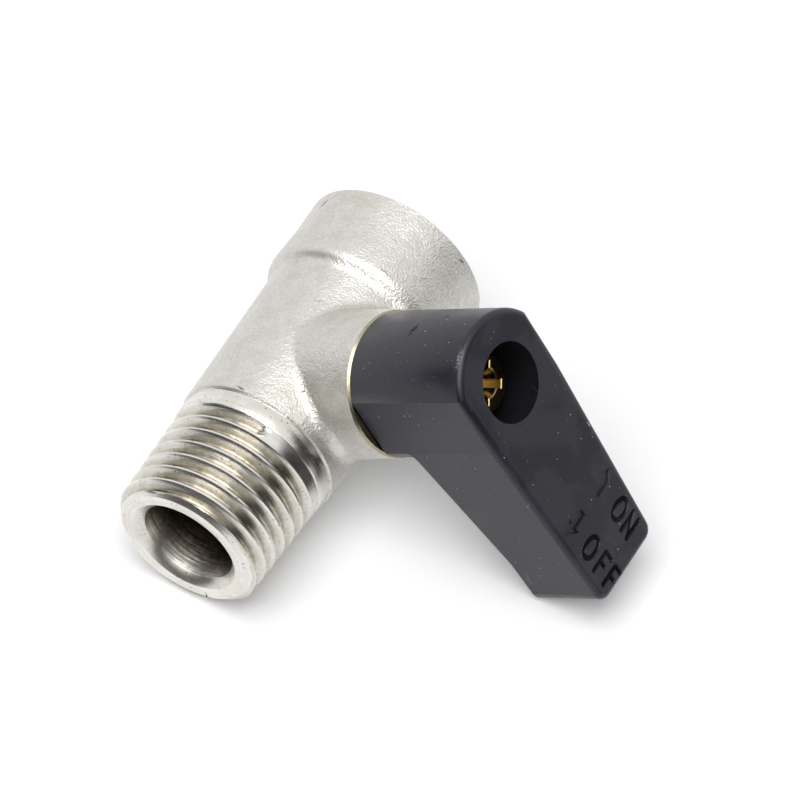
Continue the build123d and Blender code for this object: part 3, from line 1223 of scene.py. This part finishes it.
@dataclass
class Studio:
    """White tilted table, soft overhead light, plain surroundings and the camera."""

    centre: Vector
    table_normal: Vector = Vector((0.063, 0.811, 0.583)).normalized()
    table_drop: float = 7.86 * MM
    table_half: float = 0.4
    table_glow: float = 0.14
    eye: Vector = Vector((-0.1676, 0.1744, 0.2547))
    right: Vector = Vector((0.4967, -0.479, 0.7237))
    up: Vector = Vector((0.69, 0.7238, 0.0055))
    lens_mm: float = 194.586
    screen_reach: float = 0.42
    screen_height: float = 0.28
    screen_start_deg: float = 6.0
    screen_span_deg: float = -196.0
    screen_glow: float = 0.06
    ambient: float = 0.4
    lamp_reach: float = 0.5
    lamp_size: float = 0.38
    lamp_watts: float = 2.0

    def build(self) -> None:
        """Add the table, the lights, the world and the camera."""
        self.add_table()
        self.add_lamp()
        self.add_screen()
        self.add_world()
        self.add_camera()

    def add_table(self) -> None:
        """Add a white table that lies under the valve's three rests."""
        spot = self.centre - self.table_normal * self.table_drop
        bm = bmesh.new()
        bmesh.ops.create_grid(bm, x_segments=1, y_segments=1, size=self.table_half)
        bmesh.ops.transform(bm, matrix=facing(self.table_normal, spot), verts=bm.verts)
        finish_object("table", bm, [self.table_material()])

    def table_material(self) -> Material:
        """White card that shows its shadow, and lets the camera through its back.

        Returns:
            The material.
        """
        made = bpy.data.materials.new("White table")
        tree = Tree(made)
        card = tree.add("BsdfDiffuse", {"Color": (0.93, 0.93, 0.94)})
        glow = tree.add("Emission", {"Color": (1.0, 1.0, 1.0)})
        path = tree.add("LightPath")
        seen = tree.math("ADD", path.outputs["Is Camera Ray"], path.outputs["Is Glossy Ray"])
        tree.feed(glow.inputs["Strength"], tree.math("MULTIPLY", seen, self.table_glow))
        lit = tree.add("AddShader", {0: card.outputs[0], 1: glow.outputs[0]})
        clear = tree.add("BsdfTransparent")
        side = tree.add("NewGeometry")
        seen = tree.math("MULTIPLY", side.outputs["Backfacing"], path.outputs["Is Camera Ray"])
        both = tree.add("MixShader", {0: seen, 1: lit.outputs[0], 2: clear.outputs[0]})
        tree.show(both.outputs[0])
        return made

    def add_lamp(self) -> None:
        """Add one large soft lamp overhead, a little towards the camera and the left."""
        far = self.table_normal.cross(self.right)
        way = (self.table_normal * 0.92 - far * 0.3 - self.right * 0.14).normalized()
        data = bpy.data.lights.new("overhead", "AREA")
        data.size = self.lamp_size
        data.energy = self.lamp_watts
        lamp = bpy.data.objects.new("overhead", data)
        lamp.matrix_world = facing(way, self.centre + way * self.lamp_reach)
        bpy.context.scene.collection.objects.link(lamp)

    def add_screen(self) -> None:
        """Stand a dark curved screen at the sides and behind the camera, like the unlit room."""
        grey = bpy.data.materials.new("Dark screen")
        tree = Tree(grey)
        tree.show(tree.add("Emission", {"Strength": self.screen_glow}).outputs[0])
        normal = self.table_normal
        right = (self.right - normal * self.right.dot(normal)).normalized()
        start = Matrix.Rotation(math.radians(self.screen_start_deg), 3, normal) @ right
        foot = self.centre + start * self.screen_reach - normal * self.table_drop
        bm = bmesh.new()
        low = bm.verts.new(foot)
        high = bm.verts.new(foot + normal * self.screen_height)
        edge = bm.edges.new((low, high))
        bmesh.ops.spin(
            bm,
            geom=[low, high, edge],
            cent=self.centre,
            axis=normal,
            angle=math.radians(self.screen_span_deg),
            steps=32,
        )
        screen = finish_object("dark_screen", bm, [grey])
        screen.visible_camera = False
        screen.visible_shadow = False
        screen.visible_diffuse = False

    def add_world(self) -> None:
        """Surround the valve with white that shows in metal but lights gently."""
        world = bpy.data.worlds.new("White surroundings")
        tree = Tree(world)
        path = tree.add("LightPath")
        seen = tree.math("MAXIMUM", path.outputs["Is Camera Ray"], path.outputs["Is Glossy Ray"])
        seen = tree.math("MAXIMUM", seen, path.outputs["Is Transmission Ray"])
        strength = tree.math("MULTIPLY_ADD", seen, 1.0 - self.ambient, self.ambient)
        back = tree.add("Background", {"Color": (1.0, 1.0, 1.0), "Strength": strength})
        tree.show(back.outputs[0], "OutputWorld")
        bpy.context.scene.world = world

    def add_camera(self) -> None:
        """Add the camera where the photograph was taken from."""
        data = bpy.data.cameras.new("camera")
        data.sensor_width = 36.0
        data.lens = self.lens_mm
        data.clip_start = 0.01
        data.clip_end = 10.0
        right = self.right.normalized()
        back = right.cross(self.up).normalized()
        up = back.cross(right)
        camera = bpy.data.objects.new("camera", data)
        turn = Matrix((right, up, back)).transposed().to_4x4()
        camera.matrix_world = Matrix.Translation(self.eye) @ turn
        bpy.context.scene.collection.objects.link(camera)
        bpy.context.scene.camera = camera


def paint(node: Object, material: Material) -> None:
    """Give every material slot of a node one material.

    Args:
        node: The node.
        material: The material.
    """
    if not node.material_slots:
        node.data.materials.append(material)
    for slot in node.material_slots:
        slot.material = material


def main() -> None:
    """Build and dress the valve, then light it."""
    logging.basicConfig(level=logging.INFO)
    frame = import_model()
    nodes = frame["nodes"]
    bpy.context.scene.view_settings.view_transform = "Standard"
    kinds = (Grain, Marks, Specks, Stains, Scratches, ScuffShape)
    groups = {kind: kind().tree for kind in kinds}
    stem_low, stem_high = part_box("stem")
    stem_x = (stem_low[0] + stem_high[0]) / 2

    mounts = {mount["name"]: mount for mount in frame["record"]["mounts"]}
    outlet = mounts["outlet_thread"]
    port_start = outlet["pos_m"][0] - outlet["dims"]["length_mm"] * MM / 2
    mouth_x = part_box("valve_body")[1][0]
    port_r = outlet["dims"]["r_mm"] * MM
    male = PipeThread(
        start_x=0.0,
        end_x=9.75 * MM,
        land_r=6.63 * MM,
        groove_end_x=9.27 * MM,
        groove_end_deg=58.0,
        side=1,
    )
    female = PipeThread(
        start_x=port_start + 0.1 * MM,
        end_x=mouth_x - 0.02 * MM,
        land_r=port_r - 0.16 * MM,
        groove_end_x=port_start + 1.2 * MM,
        groove_end_deg=0.0,
        side=-1,
    )
    zones = {Zone.FORGED: FORGED, Zone.TURNED: TURNED, Zone.BORED: BORED, Zone.RIM: RIM}
    body = ValveBody(nodes["valve_body"], stem_x, male, female, mouth_x)
    body.build([zones[zone].material(groups) for zone in Zone])
    lever = LeverHandle(nodes["handle"], stem_x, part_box("handle")[1][2])
    lever.build([PLASTIC.material(groups), WELL_SHADE.material(groups)])
    for finish, names in INNER.items():
        material = finish.material(groups)
        for name in names:
            paint(nodes[name], material)
            log.info("%s: %s", name, finish.name)

    Studio(Vector((stem_x, 0.0, 0.0))).build()


if __name__ == "__main__":
    main()
